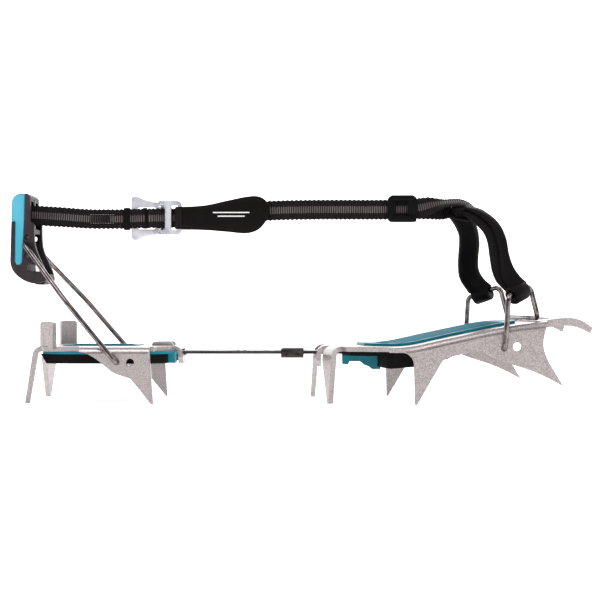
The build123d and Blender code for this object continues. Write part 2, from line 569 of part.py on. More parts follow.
SLIDER_X = (57.0, 75.5)
slider = block(*SLIDER_X, -1.4, 5.6, 112.2, 128.6)
slider = fillet(slider.edges().filter_by(Axis.Y), 3.0)
slider -= block(50, 85, 0.8, 3.8, FRONT_STRAP_Z - 6.7, FRONT_STRAP_Z + 6.7)
slider -= block(62.0, 69.6, -5, 10, FRONT_STRAP_Z - 4.9, FRONT_STRAP_Z + 6.2)
keep("strap_slider", slider)

# ---- front bail ---------------------------------------------------------------------------------
POST_Y = FLANGE_Y + SHEET / 2 + WIRE_R + 0.6
LOOP_Y = 30.0
bail_half = [(126.7, POST_Y, 64.8), (141.4, LOOP_Y, 72.0), (146.4, LOOP_Y, 51.85)]
bail_near = [(x, -y, z) for x, y, z in bail_half]
bail_far = [(x - SKEW * 2 * y, y, z) for x, y, z in bail_half]
bail_route = [bail_axis(FRONT_BAIL_HOLE, -FLANGE_Y + 4), bail_axis(FRONT_BAIL_HOLE, -POST_Y), *bail_near,
              *bail_far[::-1], bail_axis(FRONT_BAIL_HOLE, POST_Y), bail_axis(FRONT_BAIL_HOLE, FLANGE_Y - 4)]
keep("front_bail", wire_rod(bail_route, [2.6, 4, 4, 3.4, 3.4, 4, 4, 2.6], WIRE_R))


# ---- bands ----------------------------------------------------------------------------------------
BAND_WIDTH = 15.0
BAND_THICK = 4.6
COLLAR_R = 5.6


def band_section(centre, across, along):
    """Flat section of a band: across is its width direction, along the way it runs."""
    return Plane(origin=centre, x_dir=across, z_dir=along) * Rectangle(BAND_WIDTH, BAND_THICK)


def make_band(wire_start, wire_end, waist, top):
    """Folded band: a collar round the sloping top of the bail, then two layers up to the strap."""
    start = Vector(*wire_start)
    end = Vector(*wire_end)
    across = (end - start).normalized()
    middle = (start + end) * 0.5
    rise = (Vector(*waist) - middle).normalized()
    foot = middle + rise * 3.5
    final = (Vector(*top) - Vector(*waist)).normalized()
    half_way = (rise + final).normalized()
    side_way = (across + Vector(0.6, 0, 0.15)).normalized()
    sections = [band_section(foot, across, rise), band_section(Vector(*waist), side_way, half_way),
                band_section(Vector(*top), Vector(1, 0, 0.2), final)]
    collar = rod(middle - across * (BAND_WIDTH * 0.37), middle + across * (BAND_WIDTH * 0.37), COLLAR_R)
    band = loft(sections) + collar
    return band - rod(start - across * 20, end + across * 20, WIRE_R + 0.25)


near_band = make_band(bail_route[2], bail_route[3], (122, -27, 95), (107.5, -9.4, 113.6))
far_band = make_band(bail_route[7], bail_route[6], (107, 29, 93), (102.5, 9, 113.5))
keep("near_band", near_band)
keep("far_band", far_band)
loop_top = block(96, 116, -9.0, 9.0, 118.4, 127.4) - block(90, 120, -7.0, 7.0, 110, 124.8)
keep("strap_end_loop", loop_top)


# ---- shift to the bottom centre and write -----------------------------------------------------------
def overall_box(shapes):
    boxes = [shape.bounding_box() for shape in shapes]
    low = [min(getattr(b.min, axis) for b in boxes) for axis in "XYZ"]
    high = [max(getattr(b.max, axis) for b in boxes) for axis in "XYZ"]
    return low, high


low_corner, high_corner = overall_box(NODES.values())
SHIFT = (-(low_corner[0] + high_corner[0]) / 2, -(low_corner[1] + high_corner[1]) / 2, -low_corner[2])
os.makedirs("parts", exist_ok=True)
for node, shape in NODES.items():
    export_step(Pos(*SHIFT) * shape, f"parts/{node}.step")
print("size", [round(h - l, 2) for l, h in zip(low_corner, high_corner)])
print("shift", [round(s, 3) for s in SHIFT])
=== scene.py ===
import math

import bmesh
import bpy
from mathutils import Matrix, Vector
from mathutils.bvhtree import BVHTree


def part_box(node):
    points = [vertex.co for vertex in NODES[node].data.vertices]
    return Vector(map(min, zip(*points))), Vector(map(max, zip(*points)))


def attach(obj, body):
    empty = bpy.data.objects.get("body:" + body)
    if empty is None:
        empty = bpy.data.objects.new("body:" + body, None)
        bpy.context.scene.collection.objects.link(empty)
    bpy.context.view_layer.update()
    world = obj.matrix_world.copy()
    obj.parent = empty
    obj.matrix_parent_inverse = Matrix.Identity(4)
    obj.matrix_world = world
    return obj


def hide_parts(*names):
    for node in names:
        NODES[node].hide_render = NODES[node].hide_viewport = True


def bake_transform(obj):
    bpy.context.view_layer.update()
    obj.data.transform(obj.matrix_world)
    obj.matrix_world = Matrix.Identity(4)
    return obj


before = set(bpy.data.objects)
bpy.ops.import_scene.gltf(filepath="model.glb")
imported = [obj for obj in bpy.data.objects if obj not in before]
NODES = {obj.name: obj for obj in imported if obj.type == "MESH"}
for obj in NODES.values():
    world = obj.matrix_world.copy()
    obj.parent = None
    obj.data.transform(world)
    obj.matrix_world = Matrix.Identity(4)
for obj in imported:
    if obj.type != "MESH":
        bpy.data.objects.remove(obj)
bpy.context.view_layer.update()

# Lengths are in metres, in the frame of the CAD model: +X to the toe, +Y away from the camera, +Z up.
MM = 0.001


# ---- small helpers ---------------------------------------------------------------------
def low(node):
    return Vector(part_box(node)[0])


def high(node):
    return Vector(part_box(node)[1])


def middle(node):
    return (low(node) + high(node)) / 2


def srgb(red, green, blue):
    """Linear colour from 0 to 255 display values."""
    def one(value):
        value /= 255
        return value / 12.92 if value <= 0.04045 else ((value + 0.055) / 1.055) ** 2.4
    return (one(red), one(green), one(blue), 1.0)


# ---- materials ---------------------------------------------------------------------------
class Graph:
    """A node material and short calls that add nodes to it."""

    def __init__(self, name):
        self.material = bpy.data.materials.new(name)
        self.material.use_nodes = True
        self.nodes = self.material.node_tree.nodes
        self.links = self.material.node_tree.links
        self.shader = self.nodes["Principled BSDF"]
        self.place = self.nodes.new("ShaderNodeTexCoord").outputs["Object"]

    def set(self, **values):
        """Give the shader's inputs a value or a node's output."""
        names = {"color": "Base Color", "metal": "Metallic", "rough": "Roughness", "normal": "Normal",
                 "specular": "Specular IOR Level", "sheen": "Sheen Weight", "sheen_rough": "Sheen Roughness",
                 "emission": "Emission Strength", "emission_color": "Emission Color"}
        for key, value in values.items():
            self.feed(self.shader.inputs[names[key]], value)

    def feed(self, socket, value):
        if isinstance(value, bpy.types.NodeSocket):
            self.links.new(value, socket)
        else:
            socket.default_value = value

    def add(self, kind, inputs=None, output=0, **settings):
        node = self.nodes.new(kind)
        for key, value in settings.items():
            setattr(node, key, value)
        for key, value in (inputs or {}).items():
            self.feed(node.inputs[key], value)
        return node.outputs[output]

    def stretched(self, x, y, z):
        """Object coordinates scaled along each axis."""
        return self.add("ShaderNodeMapping", {"Vector": self.place, "Scale": (x, y, z)})

    def noise(self, scale, detail, where=None):
        return self.add("ShaderNodeTexNoise", {"Vector": where or self.place, "Scale": scale,
                                               "Detail": detail, "Roughness": 0.55})

    def spots(self, scale):
        return self.add("ShaderNodeTexVoronoi", {"Vector": self.place, "Scale": scale})

    def ramp(self, factor, low_value, high_value, low_at=0.3, high_at=0.7):
        """Value that goes from low_value to high_value as factor crosses from low_at to high_at."""
        return self.add("ShaderNodeMapRange", {"Value": factor, "From Min": low_at, "From Max": high_at,
                                               "To Min": low_value, "To Max": high_value})

    def blend(self, factor, first, second):
        """Colour that goes from first to second as factor goes from 0 to 1."""
        return self.add("ShaderNodeMix", {0: factor, 6: first, 7: second}, output=2, data_type="RGBA")

    def calculate(self, operation, first, second=0.0):
        return self.add("ShaderNodeMath", {0: first, 1: second}, operation=operation)

    def bump(self, height, distance, strength, under=None):
        inputs = {"Height": height, "Distance": distance, "Strength": strength}
        if under is not None:
            inputs["Normal"] = under
        return self.add("ShaderNodeBump", inputs)

    def soft_edges(self, radius):
        """Normal that rounds edges to the radius."""
        return self.add("ShaderNodeBevel", {"Radius": radius}, samples=4)

    def edge_mask(self, rounded, low_at, high_at):
        """1 on edges and 0 on faces, from how far a soft_edges normal turns away from the true one."""
        flat = self.add("ShaderNodeNewGeometry", output="Normal")
        facing = self.add("ShaderNodeVectorMath", {0: rounded, 1: flat}, output="Value",
                          operation="DOT_PRODUCT")
        return self.ramp(facing, 1.0, 0.0, low_at, high_at)


def steel_material():
    """Shot-blasted stainless sheet: fine speckle, faint blotches and softened edges."""
    g = Graph("blasted_steel")
    grain = g.noise(1700, 2.0)
    blotch = g.noise(120, 4.0)
    speck = g.spots(1300)
    tone = g.blend(g.ramp(grain, 0.0, 1.0, 0.38, 0.62), srgb(150, 142, 142), srgb(196, 187, 186))
    tone = g.blend(g.ramp(blotch, 0.0, 0.22, 0.4, 0.7), tone, srgb(190, 181, 180))
    rounded = g.soft_edges(0.5 * MM)
    normal = g.bump(grain, 0.03 * MM, 0.3, rounded)
    normal = g.bump(speck, 0.02 * MM, 0.2, normal)
    g.set(color=tone, metal=0.82, rough=g.ramp(blotch, 0.30, 0.38), normal=normal)
    return g.material


def dark_steel_material():
    """Spring steel of the extension bar, with fine worn lines along it. Its dark tone is painted shade;
    towards the rear end it turns to the light steel colour, where the painted shade stops.
    """
    bright_to, dark_from = -0.0745, -0.0715
    g = Graph("spring_steel_painted_shade")
    lines = g.noise(700, 3.0, where=g.stretched(0.06, 1, 1))
    blotch = g.noise(160, 4.0)
    # Dark tone of the bar: painted shade over its steel.
    tone = g.blend(g.ramp(lines, 0.0, 1.0, 0.35, 0.7), srgb(34, 31, 32), srgb(88, 83, 83))
    along_bar = g.add("ShaderNodeSeparateXYZ", {"Vector": g.place}, output=0)
    # 1 at the rear end, where the bar keeps its light steel colour without the painted shade, falling to 0
    # ahead of it.
    unshaded_end = g.ramp(along_bar, 1.0, 0.0, bright_to, dark_from)
    tone = g.blend(unshaded_end, tone, srgb(196, 190, 188))
    normal = g.bump(lines, 0.02 * MM, 0.4, g.soft_edges(0.3 * MM))
    g.set(color=tone, metal=0.9, rough=g.ramp(blotch, 0.28, 0.42), normal=normal)
    return g.material


def wire_material():
    """Polished stainless wire with fine drawing lines and a few dull marks."""
    g = Graph("polished_wire")
    lines = g.noise(900, 3.0, where=g.stretched(1, 1, 0.25))
    marks = g.noise(260, 4.0)
    tone = g.blend(g.ramp(marks, 0.0, 1.0, 0.35, 0.7), srgb(98, 89, 89), srgb(150, 141, 140))
    g.set(color=tone, metal=1.0, rough=g.ramp(marks, 0.12, 0.22), normal=g.bump(lines, 0.02 * MM, 0.4))
    return g.material


def teal_material(name="teal_gloss", base=(0, 108, 124), light=(0, 130, 146), rough=0.32, specular=0.25):
    """Glossy moulded plastic with a faint mould texture and flow marks."""
    g = Graph(name)
    flow = g.noise(60, 3.0)
    skin = g.noise(1900, 2.0)
    tone = g.blend(g.ramp(flow, 0.0, 1.0, 0.35, 0.65), srgb(*base), srgb(*light))
    rounded = g.soft_edges(0.4 * MM)
    normal = g.bump(skin, 0.02 * MM, 0.25, rounded)
    g.set(color=tone, rough=g.ramp(flow, rough - 0.05, rough + 0.08), specular=specular, normal=normal)
    return g.material


def cover_material():
    """Glossy teal moulding: a painted highlight makes its faces pale cyan, and painted shade deepens the teal
    towards its edges.
    """
    g = Graph("lever_teal")
    flow = g.noise(45, 2.0, where=g.stretched(1, 1, 0.4))
    rounded = g.soft_edges(1.3 * MM)
    # Edge mask for the painted shade towards the edges.
    edge = g.edge_mask(rounded, 0.80, 0.985)
    # Pale cyan faces: a painted highlight, varied by flow marks.
    face = g.blend(g.ramp(flow, 0.0, 1.0, 0.38, 0.62), srgb(70, 170, 196), srgb(134, 196, 216))
    # Painted shade: towards the edges the colour blends to deeper teal.
    tone = g.blend(edge, face, srgb(0, 118, 142))
    g.set(color=tone, rough=0.24, specular=0.4, normal=g.bump(g.noise(1900, 2.0), 0.02 * MM, 0.25, rounded))
    return g.material


def rubber_material(name="soft_black", dark=(6, 5, 5), dusty=(22, 19, 20), rough=0.5):
    """Matt black soft plastic with a fine grain and grey dust in places."""
    g = Graph(name)
    grain = g.noise(1500, 3.0)
    dust = g.noise(90, 4.0)
    tone = g.blend(g.ramp(dust, 0.0, 0.5, 0.45, 0.75), srgb(*dark), srgb(*dusty))
    normal = g.bump(grain, 0.05 * MM, 0.45, g.soft_edges(0.4 * MM))
    g.set(color=tone, rough=g.ramp(dust, rough, rough + 0.16), specular=0.1, normal=normal)
    return g.material


def lever_material():
    """Dark warm-grey glass-filled plastic with a satin moulded skin and softened edges; painted shade turns
    its hollows near-black, with less shine there.
    """
    g = Graph("lever_plastic")
    skin = g.noise(1400, 3.0)
    flow = g.noise(110, 4.0, where=g.stretched(1, 1, 0.4))
    tone = g.blend(g.ramp(flow, 0.0, 1.0, 0.35, 0.7), srgb(40, 33, 36), srgb(60, 51, 54))
    # Ambient occlusion drives painted shade: hollows are painted near-black and their shine is lowered.
    hollow = g.add("ShaderNodeAmbientOcclusion", {"Distance": 9 * MM}, output="AO", samples=8)
    tone = g.blend(g.ramp(hollow, 0.0, 1.0, 0.35, 0.8), srgb(6, 4, 5), tone)
    normal = g.bump(skin, 0.04 * MM, 0.5, g.soft_edges(0.6 * MM))
    shine = g.ramp(hollow, 0.0, 0.25, 0.4, 0.9)
    g.set(color=tone, rough=g.ramp(flow, 0.42, 0.56), specular=shine, normal=normal)
    return g.material


def aluminium_material():
    """Tumbled bright aluminium with soft dents and fine scratches; its edges are painted dark grey as a
    painted reflection of the dark surroundings.
    """
    g = Graph("tumbled_aluminium")
    dents = g.noise(90, 2.0)
    lines = g.noise(1600, 2.0, where=g.stretched(0.25, 1, 1))
    tone = g.blend(g.ramp(dents, 0.0, 1.0, 0.3, 0.7), srgb(200, 199, 212), srgb(244, 243, 250))
    rounded = g.soft_edges(0.9 * MM)
    # Painted reflection: edges blend to dark grey, standing in for the dark surroundings mirrored there.
    tone = g.blend(g.edge_mask(rounded, 0.82, 0.99), tone, srgb(112, 108, 118))
    normal = g.bump(dents, 0.10 * MM, 0.15, rounded)
    normal = g.bump(lines, 0.01 * MM, 0.3, normal)
    g.set(color=tone, metal=0.75, rough=g.ramp(dents, 0.22, 0.34), normal=normal)
    return g.material


def webbing_material():
    """Woven polyester: black edges, a grey stripe of cross ribs, and yarn texture on every rib.

    U is 0.5 in the middle of the stripe and 1 at both edges of the band, V runs along it in rib pitches."""
    g = Graph("woven_webbing")
    uv = g.add("ShaderNodeUVMap")
    across = g.add("ShaderNodeSeparateXYZ", {"Vector": uv}, output=0)
    along = g.add("ShaderNodeSeparateXYZ", {"Vector": uv}, output=1)
    yarn = g.noise(4200, 2.0)
    offset = g.calculate("ABSOLUTE", g.calculate("SUBTRACT", across, 0.5))
    stripe = g.calculate("LESS_THAN", g.calculate("ADD", offset, g.ramp(yarn, -0.012, 0.012)), 0.17)
    wave = g.calculate("SINE", g.calculate("MULTIPLY", along, 2 * math.pi))
    light_rib = g.ramp(wave, 0.0, 1.0, -0.1, 0.6)
    fade = g.ramp(g.noise(45, 3.0), 0.45, 1.0, 0.35, 0.6)
    grey = g.blend(light_rib, srgb(34, 29, 31), srgb(112, 102, 103))
    grey = g.blend(fade, srgb(44, 38, 40), grey)
    # Black ribs are painted lighter on their crests: a painted highlight.
    black = g.blend(g.ramp(wave, 0.0, 1.0, -0.3, 0.9), srgb(5, 3, 4), srgb(30, 24, 26))
    black = g.blend(g.ramp(yarn, 0.0, 0.5, 0.45, 0.75), black, srgb(40, 34, 36))
    tone = g.blend(stripe, black, grey)
    weave = g.calculate("SINE", g.calculate("MULTIPLY", across, 2 * math.pi * 11))
    normal = g.bump(g.calculate("MULTIPLY", weave, wave), 0.08 * MM, 0.5)
    normal = g.bump(yarn, 0.08 * MM, 0.6, normal)
    g.set(color=tone, rough=0.72, specular=0.12, sheen=0.04, sheen_rough=0.5, normal=normal)
    return g.material


def pad_material():
    """Smooth black coated fabric with a very fine cloth grain."""
    g = Graph("pad_fabric")
    grain = g.noise(3200, 2.0)
    fold = g.noise(70, 3.0)
    tone = g.blend(g.ramp(fold, 0.0, 0.6, 0.4, 0.7), srgb(9, 4, 5), srgb(17, 11, 12))
    g.set(color=tone, rough=0.55, specular=0.1, normal=g.bump(grain, 0.05 * MM, 0.5))
    return g.material


def thread_material(name, light, dark):
    """Twisted sewing thread."""
    g = Graph(name)
    twist = g.noise(3000, 2.0, where=g.stretched(1, 1, 0.5))
    tone = g.blend(g.ramp(twist, 0.0, 1.0, 0.4, 0.6), srgb(*dark), srgb(*light))
    g.set(color=tone, rough=0.6, specular=0.2, normal=g.bump(twist, 0.05 * MM, 0.6))
    return g.material


STEEL = steel_material()
DARK_STEEL = dark_steel_material()
WIRE = wire_material()
TEAL = teal_material()
# Darker copy of the teal for the lid skin: its darker colour is painted shade on the cover's top.
LID_TEAL = teal_material("lid_teal_painted_shade", (0, 84, 101), (0, 114, 132), 0.6, 0.04)
COVER_TEAL = cover_material()
RUBBER = rubber_material()
BAND = rubber_material("band_rubber", (8, 4, 5), (16, 11, 12), 0.46)
SLIDER = rubber_material("slider_plastic", (8, 6, 7), (16, 13, 14), 0.34)
LEVER = lever_material()
ALUMINIUM = aluminium_material()
WEBBING = webbing_material()
PAD = pad_material()
TAB = rubber_material("tab_fabric", (22, 17, 18), (34, 28, 30), 0.6)
THREAD = thread_material("grey_thread", (184, 176, 178), (112, 105, 108))
DARK_THREAD = thread_material("black_thread", (24, 21, 23), (8, 7, 8))
PRINT = thread_material("white_print", (238, 236, 236), (214, 211, 212))


# ---- making pieces ---------------------------------------------------------------------------
# X origin of the CAD's working millimetres: the latch pin stands 48.6 mm ahead of it.
ORIGIN_X = middle("latch_pin").x - 48.6 * MM


def at(x, y, z):
    """Point from the CAD's working millimetres."""
    return Vector((ORIGIN_X + x * MM, y * MM, z * MM))


def root(value):
    return math.sqrt(max(0.0, value))


def mesh_object(name, points, faces, material, uvs=None, smooth=True):
    mesh = bpy.data.meshes.new(name)
    mesh.from_pydata([tuple(p) for p in points], [], faces)
    if uvs is not None:
        layer = mesh.uv_layers.new(name="UVMap")
        for loop in mesh.loops:
            layer.data[loop.index].uv = uvs[loop.vertex_index]
    for polygon in mesh.polygons:
        polygon.use_smooth = smooth
    mesh.materials.append(material)
    piece = bpy.data.objects.new(name, mesh)
    bpy.context.scene.collection.objects.link(piece)
    return piece


def curve_through(points, step):
    """Smooth line through points, as evenly spaced samples."""
    points = [Vector(p) for p in points]
    fine = []
    padded = [2 * points[0] - points[1]] + points + [2 * points[-1] - points[-2]]
    for a, b, c, d in zip(padded, padded[1:], padded[2:], padded[3:]):
        for index in range(24):
            t = index / 24
            fine.append(0.5 * ((2 * b) + (c - a) * t + (2 * a - 5 * b + 4 * c - d) * t * t
                               + (3 * b - a - 3 * c + d) * t ** 3))
    fine.append(points[-1])
    lengths = [0.0]
    for a, b in zip(fine, fine[1:]):
        lengths.append(lengths[-1] + (b - a).length)
    count = max(2, round(lengths[-1] / step))
    samples = []
    j = 0
    for index in range(count + 1):
        target = lengths[-1] * index / count
        while j < len(fine) - 2 and lengths[j + 1] < target:
            j += 1
        span = lengths[j + 1] - lengths[j]
        samples.append(fine[j].lerp(fine[j + 1], (target - lengths[j]) / span if span else 0))
    return samples


RIB = 1.4 * MM
SCALLOP = 2.8 * MM


def swept(name, samples, acrosses, outline, material):
    """Closed outline carried along samples, with UVs that count ribs along it.

    outline(s) gives (u, v, w) triples for the length s: u across, v out of the face, w the UV place across.
    acrosses has one width direction per sample."""
    points, uvs, faces = [], [], []
    length = 0.0
    for i, centre in enumerate(samples):
        before = samples[max(i - 1, 0)]
        after = samples[min(i + 1, len(samples) - 1)]
        along = (after - before).normalized()
        across = (acrosses[i] - along * acrosses[i].dot(along)).normalized()
        out = along.cross(across)
        if i:
            length += (centre - samples[i - 1]).length
        ring = outline(length)
        for u, v, w in ring:
            points.append(centre + across * u + out * v)
            uvs.append((w, length / RIB))
    size = len(ring)
    for i in range(len(samples) - 1):
        for j in range(size):
            k = (j + 1) % size
            faces.append((i * size + j, i * size + k, (i + 1) * size + k, (i + 1) * size + j))
    faces.append(tuple(range(size))[::-1])
    faces.append(tuple((len(samples) - 1) * size + j for j in range(size)))
    return mesh_object(name, points, faces, material, uvs)


def finish_piece(piece, body, replaced=()):
    """Say which body the piece rides on and the CAD nodes it stands for."""
    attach(piece, body)
    if replaced:
        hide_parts(*replaced)
    return piece


def fix_normals(piece):
    """Turn all faces outwards."""
    shape = bmesh.new()
    shape.from_mesh(piece.data)
    bmesh.ops.recalc_face_normals(shape, faces=shape.faces)
    shape.to_mesh(piece.data)
    shape.free()


def rim_faces(columns, rows, sheet):
    """Faces that close the rim between two grids of points, the second one starting at index sheet."""
    stride = rows + 1
    rim = list(range(stride))
    rim += [c * stride + rows for c in range(1, columns + 1)]
    rim += [columns * stride + r for r in range(rows - 1, -1, -1)]
    rim += [c * stride for c in range(columns - 1, 0, -1)]
    return [(a, b, sheet + b, sheet + a) for a, b in zip(rim, rim[1:] + rim[:1])]


UP = Vector((0, 0, 1))
WEB_THICKNESS = 1.3 * MM
STRIPE_EDGE = 0.36
RIPPLE_SHIFT = 1.2


def webbing_outline(width, plain_back):
    """Outline of ribbed webbing: ribs on both faces, scalloped selvedges, the stripe on one or both faces.

    A plain back keeps the edges' UV place of 1 all across, so it has no stripe."""
    steps = 16

    def outline(s):
        phase = 2 * math.pi * s / RIB
        edge = 0.5 * width + 0.26 * MM * math.cos(2 * math.pi * s / SCALLOP)
        ring = []
        for side in (1, -1):
            for step in range(steps + 1):
                part = 1 - 2 * step / steps
                taper = root(1 - abs(part) ** 6)
                if abs(part) < STRIPE_EDGE:
                    ripple = 0.14 * MM * math.sin(phase)
                else:
                    ripple = 0.17 * MM * math.sin(phase + RIPPLE_SHIFT)
                groove = -0.10 * MM if abs(abs(part) - STRIPE_EDGE) < 0.06 else 0.0
                v = (0.5 * WEB_THICKNESS + ripple + groove) * taper + 0.12 * MM
                place = 1.0 if plain_back and side < 0 else 0.5 + 0.5 * abs(part)
                ring.append((edge * part * side, v * side, place))
        return ring
    return outline


def webbing(name, path, body, replaced, width=12.2 * MM, tilt=None, plain_back=False):
    """Ribbed webbing along path. tilt(t) gives its width direction for t from 0 to 1 along the path."""
    samples = curve_through(path, RIB / 5)
    acrosses = [tilt(i / (len(samples) - 1)) if tilt else UP for i in range(len(samples))]
    piece = swept(name, samples, acrosses, webbing_outline(width, plain_back), WEBBING)
    return finish_piece(piece, body, replaced)


def flat_outline(width, thickness):
    """Plain band outline with rounded edges."""
    steps = 8

    def outline(s):
        ring = []
        for side in (1, -1):
            for step in range(steps + 1):
                part = (1 - 2 * step / steps) * side
                v = 0.5 * thickness * root(1 - abs(part) ** 5) + 0.03 * MM
                ring.append((0.5 * width * part, v * side, 0.5 + 0.5 * part))
        return ring
    return outline


def stitches(name, lines, body, material, length, gap, radius):
    """Short rounded thread lengths on a face towards the near side, along lines from start to end."""
    points, faces = [], []
    sides, rings = 6, 7
    out = Vector((0, -1, 0))
    for start, end in lines:
        along = (end - start).normalized()
        side = along.cross(out)
        total = (end - start).length
        count = max(1, int(total / (length + gap)))
        for n in range(count):
            middle_at = start + along * (total * (n + 0.5) / count)
            base = len(points)
            for r in range(rings):
                t = r / (rings - 1) * 2 - 1
                size = radius * max(0.25, root(1 - abs(t) ** 3))
                lift = 0.35 * radius * (1 - t * t)
                for k in range(sides):
                    angle = 2 * math.pi * k / sides
                    points.append(middle_at + along * (t * length / 2) + out * (lift + size * math.sin(angle))
                                  + side * (size * math.cos(angle)))
            for r in range(rings - 1):
                for k in range(sides):
                    a, b = base + r * sides + k, base + r * sides + (k + 1) % sides
                    faces.append((a, b, b + sides, a + sides))
            faces.append(tuple(base + k for k in range(sides))[::-1])
            faces.append(tuple(base + (rings - 1) * sides + k for k in range(sides)))
    return finish_piece(mesh_object(name, points, faces, material), body)


# ---- CAD nodes: shading and materials --------------------------------------------------------
def shade_cad_nodes():
    """Smooth shading over curved faces, sharp at real edges."""
    for node in NODES.values():
        if node.type == "MESH":
            for polygon in node.data.polygons:
                polygon.use_smooth = True
            node.data.set_sharp_from_angle(angle=math.radians(32))


def paint(material, *names):
    """Give CAD nodes their material."""
    for name in names:
        data = NODES[name].data
        data.materials.clear()
        data.materials.append(material)


shade_cad_nodes()
paint(STEEL, "front_plate", "heel_plate")
# The bar and its clip get the dark tone of painted shade.
paint(DARK_STEEL, "extension_bar", "bar_clip")
paint(WIRE, "heel_bail", "front_bail", "latch_pin", "latch_tooth", "latch_spring", "strap_pin")
paint(TEAL, "front_antiball_frame", "heel_antiball_frame", "size_latch")
paint(COVER_TEAL, "lever_cover")
paint(RUBBER, "front_antiball_pad", "heel_antiball_pad")
paint(SLIDER, "strap_slider")
paint(LEVER, "lever_body")
paint(ALUMINIUM, "buckle_wing", "buckle_frame")


# ---- rear strap: loop round the pin, stitched fold, run to the buckle --------------------------
# Between X -102 and -88 the webbing dips behind a black bar that stands for the shade in the gap between its
# layers: painted shade.
REAR_PATH = [at(-117, 1.5, 114.2), at(-131, 1.6, 114.3), at(-150, 1.75, 115.4), at(-163, 2.0, 116.2),
             at(-167.6, 1.6, 116.4), at(-169.1, 0.0, 116.5), at(-167.6, -1.6, 116.5), at(-163, -1.9, 116.3),
             at(-150, -1.3, 115.5), at(-138, -0.6, 114.6), at(-128, -0.05, 114.1), at(-112, 0.0, 114.1),
             at(-102, -0.6, 114.3), at(-98.4, -1.2, 114.4), at(-96.9, -1.2, 114.4), at(-96.1, -0.2, 114.4),
             at(-95.7, 0.6, 114.4), at(-94.6, 0.6, 114.4), at(-94.1, -0.2, 114.5), at(-93.4, -0.9, 114.5),
             at(-91.5, -0.8, 114.5), at(-88, -0.2, 114.6), at(-70, 0.0, 114.8), at(-38, 0.0, 115.6)]


def seams(heights, x_start, x_end, y):
    """Lines of sewing along the folded end of the rear strap, at heights from its middle."""
    return [(at(x_start, y, 114.2 + height), at(x_end, y, 114.1 + height)) for height in heights]


def make_rear_strap():
    webbing("rear_strap", REAR_PATH, "heel_strap", ("rear_strap_loop", "rear_webbing"))
    light = seams((2.7, -2.7), -131, -115.5, -0.95)
    stitches("fold_stitching", light, "heel_strap", THREAD, 0.9 * MM, 0.55 * MM, 0.17 * MM)
    dark = seams((-1.6, -0.8, 0.0, 0.8, 1.6), -130.6, -118.5, -0.92) + seams((-4.4, 4.4), -131, -116, -0.9)
    stitches("fold_bar_tack", dark, "heel_strap", DARK_THREAD, 1.3 * MM, 0.1 * MM, 0.34 * MM)


make_rear_strap()


def make_keeper():
    """Elastic band bent into a closed loop round the two layers of webbing."""
    x_mid, half_width, half_thickness, corner = -107.6, 2.0, 0.45, 0.9
    y_low, y_high, z_low, z_high = -1.45, 1.45, 107.5, 120.8
    corners = ((y_high - corner, z_high - corner, 0), (y_low + corner, z_high - corner, 90),
               (y_low + corner, z_low + corner, 180), (y_high - corner, z_low + corner, 270))
    line = []
    for y, z, start in corners:
        for step in range(7):
            angle = math.radians(start + 90 * step / 6)
            line.append((y + corner * math.cos(angle), z + corner * math.sin(angle)))
    section = []
    sides = 12
    for k in range(sides):
        angle = 2 * math.pi * k / sides
        u = half_width * math.copysign(abs(math.cos(angle)) ** 0.45, math.cos(angle))
        v = half_thickness * math.copysign(abs(math.sin(angle)) ** 0.7, math.sin(angle))
        section.append((u, v))
    points, faces = [], []
    total = len(line)
    for i, (y, z) in enumerate(line):
        y_after, z_after = line[(i + 1) % total]
        y_before, z_before = line[i - 1]
        tangent = Vector((0, y_after - y_before, z_after - z_before)).normalized()
        out = tangent.cross(Vector((1, 0, 0)))
        points += [at(x_mid + u, y, z) + out * (v * MM) for u, v in section]
        after = (i + 1) % total
        for k in range(sides):
            m = (k + 1) % sides
            faces.append((i * sides + k, i * sides + m, after * sides + m, after * sides + k))
    piece = mesh_object("keeper_band", points, faces, BAND)
    finish_piece(piece, "heel_strap", ("strap_keeper",))


make_keeper()


# ---- pad ----------------------------------------------------------------------------------------
def interpolate(table, x):
    """Smooth value at x from (x, value) pairs in rising order."""
    if x <= table[0][0]:
        return table[0][1]
    for index in range(len(table) - 1):
        x0, v0 = table[index]
        x1, v1 = table[index + 1]
        if x <= x1:
            before = table[max(index - 1, 0)]
            after = table[min(index + 2, len(table) - 1)]
            m0 = (v1 - before[1]) / (x1 - before[0]) if x1 != before[0] else 0
            m1 = (after[1] - v0) / (after[0] - x0) if after[0] != x0 else 0
            h = x1 - x0
            t = (x - x0) / h
            return (v0 * (2 * t ** 3 - 3 * t * t + 1) + m0 * h * (t ** 3 - 2 * t * t + t)
                    + v1 * (3 * t * t - 2 * t ** 3) + m1 * h * (t ** 3 - t * t))
    return table[-1][1]


PAD_TOP_EDGE = [(-72.9, 121.6), (-58, 122.6), (-44, 125.6), (-32, 128.0), (-25, 128.3), (-20.4, 126.2),
                (-17.8, 122.4), (-17.3, 119.4)]
PAD_LOW_EDGE = [(-72.9, 107.2), (-58, 106.9), (-44, 105.8), (-32, 104.9), (-25, 106.9), (-20.4, 111.4),
                (-17.8, 116.4), (-17.3, 119.0)]
PAD_LOW_X = PAD_TOP_EDGE[0][0]
PAD_HIGH_X = PAD_TOP_EDGE[-1][0]
PAD_Y = -2.25
PAD_RIM = 1.1
PAD_PUFF = 0.75
PUFF_FROM_FOLD = 26


